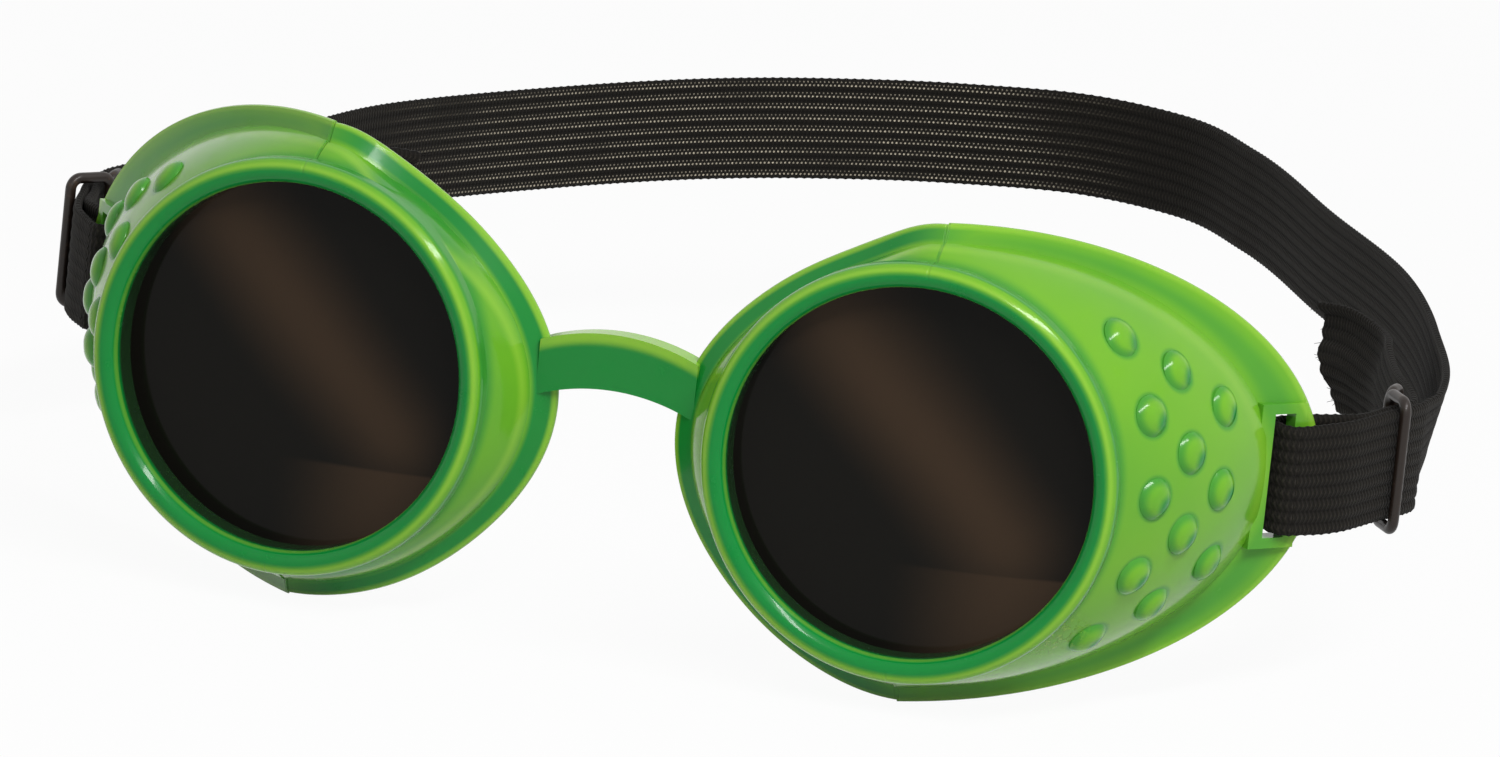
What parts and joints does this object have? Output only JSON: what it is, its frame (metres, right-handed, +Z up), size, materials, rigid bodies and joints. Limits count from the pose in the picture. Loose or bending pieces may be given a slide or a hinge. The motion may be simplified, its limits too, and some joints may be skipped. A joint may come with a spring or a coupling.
{
  "type": "welding goggles",
  "caption": "Round-lens goggles with green side-shield cups, dark lenses, an arched nose bridge and an elastic head strap held by wire sliders.",
  "frame": {"origin": "centre of the bounding box in plan, on the level surface that the cups stand on", "axes": "+X towards the cup on the viewer's right as seen from the front, +Y from the lenses back to the strap, +Z up as worn"},
  "size_m": [0.1918, 0.238, 0.0644],
  "materials": {
    "shell_green": "glossy moulded plastic, slightly translucent",
    "lens_tint": "near-black brown tint, polished flat",
    "slider_wire": "black enamelled wire",
    "strap_elastic": "ribbed woven elastic with an open weave"
  },
  "bodies": {
    "goggle_frame": {"left_eye_cup": "shell_green", "left_lens": "lens_tint", "left_lens_ring": "shell_green", "left_side_shield": "shell_green", "nose_bridge": "shell_green", "right_eye_cup": "shell_green", "right_lens": "lens_tint", "right_lens_ring": "shell_green", "right_side_shield": "shell_green"},
    "strap": {"head_strap": "strap_elastic", "left_strap_end": "strap_elastic", "right_strap_end": "strap_elastic"},
    "left_slider": {"left_strap_slider": "slider_wire"},
    "right_slider": {"right_strap_slider": "slider_wire"}
  },
  "joints": [
    {"name": "strap_tilt", "type": "hinge", "parent": "goggle_frame", "child": "strap", "pos_m": [0, -0.07798, 0.03228], "axis": [1, 0, 0], "range_deg": [-4, 4]},
    {"name": "left_slider_slide", "type": "slide", "parent": "strap", "child": "left_slider", "axis": [-0.2588, 0.9659, 0], "range_m": [-0.004, 0.0003]},
    {"name": "right_slider_slide", "type": "slide", "parent": "strap", "child": "right_slider", "axis": [0.2588, 0.9659, 0], "range_m": [-0.004, 0.0003]}
  ]
}
